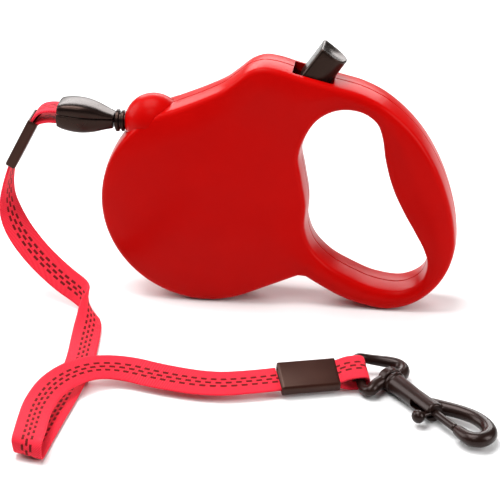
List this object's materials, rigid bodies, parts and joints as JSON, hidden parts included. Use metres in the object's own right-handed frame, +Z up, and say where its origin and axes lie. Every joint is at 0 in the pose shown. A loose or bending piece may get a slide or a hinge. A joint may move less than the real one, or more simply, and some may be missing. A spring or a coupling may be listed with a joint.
{
  "type": "retractable leash",
  "caption": "Cord-type retractable pet leash with spool housing, thumb brake, cord stop, webbing lead and swivel bolt snap.",
  "frame": {"origin": "on the surface it stands on, under the middle of the housing and cord stop", "axes": "+Z up, +X from the nose towards the handle, +Y towards the rear shell, which carries the screws"},
  "size_m": [0.2261, 0.1787, 0.1225],
  "materials": {
    "red_plastic": "satin moulded",
    "black_plastic": "semi-gloss moulded",
    "button_plastic": "satin moulded",
    "sleeve_plastic": "dark lacquered",
    "grey_plastic": "moulded",
    "steel": "zinc plated",
    "spring_steel": "oiled",
    "cord": "braided nylon",
    "webbing": "woven nylon with dark stitched dashes",
    "bronzed_metal": "dark bronze plated zinc"
  },
  "bodies": {
    "housing": {"front_shell": "red_plastic", "rear_shell": "red_plastic", "nose_guide": "red_plastic", "nose_bush": "black_plastic", "case_screws": "steel", "spool_axle": "steel", "axle_washers": "steel", "spring_arbor": "grey_plastic", "cord_run": "cord", "pawl_pin": "steel"},
    "spool": {"spool_hub": "grey_plastic", "spool_flange": "grey_plastic", "spring_cover": "grey_plastic", "mainspring": "spring_steel", "cord_winding": "cord"},
    "lock": {"lock_slider": "grey_plastic", "button_spring": "spring_steel"},
    "button": {"brake_button": "button_plastic"},
    "pawl": {"brake_pawl": "grey_plastic"},
    "lead": {"cord_stop_upper": "black_plastic", "cord_stop_lower": "black_plastic", "loop_pin": "steel", "cord_end": "cord", "upper_loop": "webbing", "upper_sleeve": "sleeve_plastic", "webbing": "webbing", "lower_sleeve": "sleeve_plastic", "lower_loop": "webbing"},
    "eye": {"swivel_eye": "bronzed_metal"},
    "snap": {"swivel_rivet": "bronzed_metal", "snap_body": "bronzed_metal", "gate_spring": "spring_steel"},
    "gate": {"gate_bolt": "bronzed_metal"}
  },
  "joints": [
    {"name": "cord_pull", "type": "slide", "parent": "housing", "child": "lead", "axis": [-1, 0, 0], "range_m": [0, 0.29489], "stiffness_N_per_m": 4, "springref_m": -0.6},
    {"name": "spool_spin", "type": "hinge", "parent": "housing", "child": "spool", "pos_m": [-0.0231, 0, 0.0476], "axis": [0, 1, 0], "range_deg": [-481, 1], "deforming": ["mainspring"]},
    {"name": "lock_slide", "type": "slide", "parent": "housing", "child": "lock", "axis": [-0.9702, 0, 0.2422], "range_m": [0, 0.004]},
    {"name": "button_press", "type": "slide", "parent": "lock", "child": "button", "axis": [-0.5736, 0, -0.8192], "range_m": [0, 0.0035], "stiffness_N_per_m": 900, "springref_m": -0.002, "deforming": ["button_spring"]},
    {"name": "pawl_pivot", "type": "hinge", "parent": "housing", "child": "pawl", "pos_m": [-0.006, 0, 0.0921], "axis": [0, 1, 0], "range_deg": [-0.5, 12]},
    {"name": "eye_tilt", "type": "hinge", "parent": "lead", "child": "eye", "pos_m": [0.05256, -0.08211, 0.0059], "axis": [0.2747, -0.8986, -0.342], "range_deg": [0, 35]},
    {"name": "hook_swivel", "type": "hinge", "parent": "eye", "child": "snap", "pos_m": [0.0652, -0.083, 0.0047], "axis": [0.6018, -0.7986, 0], "continuous": true},
    {"name": "gate_slide", "type": "slide", "parent": "snap", "child": "gate", "axis": [-0.6018, 0.7986, 0], "range_m": [0, 0.008], "stiffness_N_per_m": 150, "springref_m": -0.006, "deforming": ["gate_spring"]}
  ],
  "couplings": [
    {"joint": "spool_spin", "follows": "cord_pull", "rad_per_m": -28.409},
    {"joint": "pawl_pivot", "follows": "button_press", "rad_per_m": 46.7}
  ]
}
